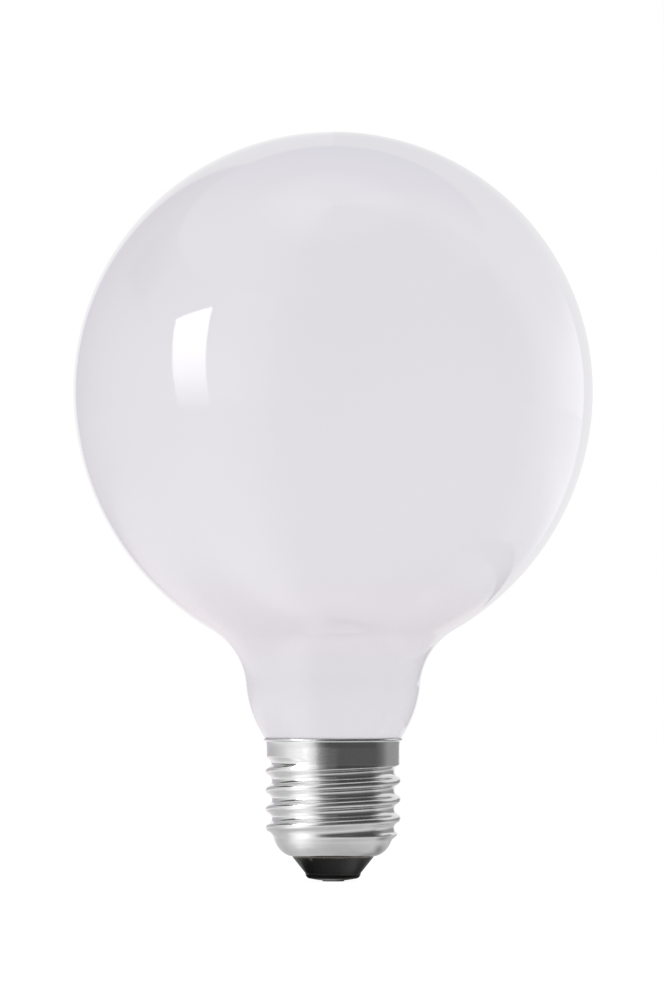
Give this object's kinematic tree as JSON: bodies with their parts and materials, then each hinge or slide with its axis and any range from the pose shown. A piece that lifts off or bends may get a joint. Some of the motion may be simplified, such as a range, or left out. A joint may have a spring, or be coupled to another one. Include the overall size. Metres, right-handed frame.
{
  "type": "globe bulb",
  "caption": "Opal glass globe bulb: a round globe on a short barrel neck, with a rolled metal screw cap, black insulator and bottom contact.",
  "frame": {"origin": "middle of the flat under the bottom contact, at the bulb's lowest point", "axes": "+Z along the bulb's axis from the contact to the crown of the globe; -Y faces the picture's camera"},
  "size_m": [0.1, 0.1, 0.1443],
  "materials": {
    "opal_glass": "glossy opal white",
    "cement": "matte",
    "bright_shell": "bright, with fine drawing marks",
    "black_insulator": "black, satin gloss",
    "contact_plate": "satin",
    "solder": "satin"
  },
  "bodies": {
    "root": {"glass_globe": "opal_glass", "basing_cement": "cement", "screw_shell": "bright_shell", "insulator": "black_insulator", "centre_contact": "contact_plate", "solder_spot": "solder"}
  },
  "joints": []
}
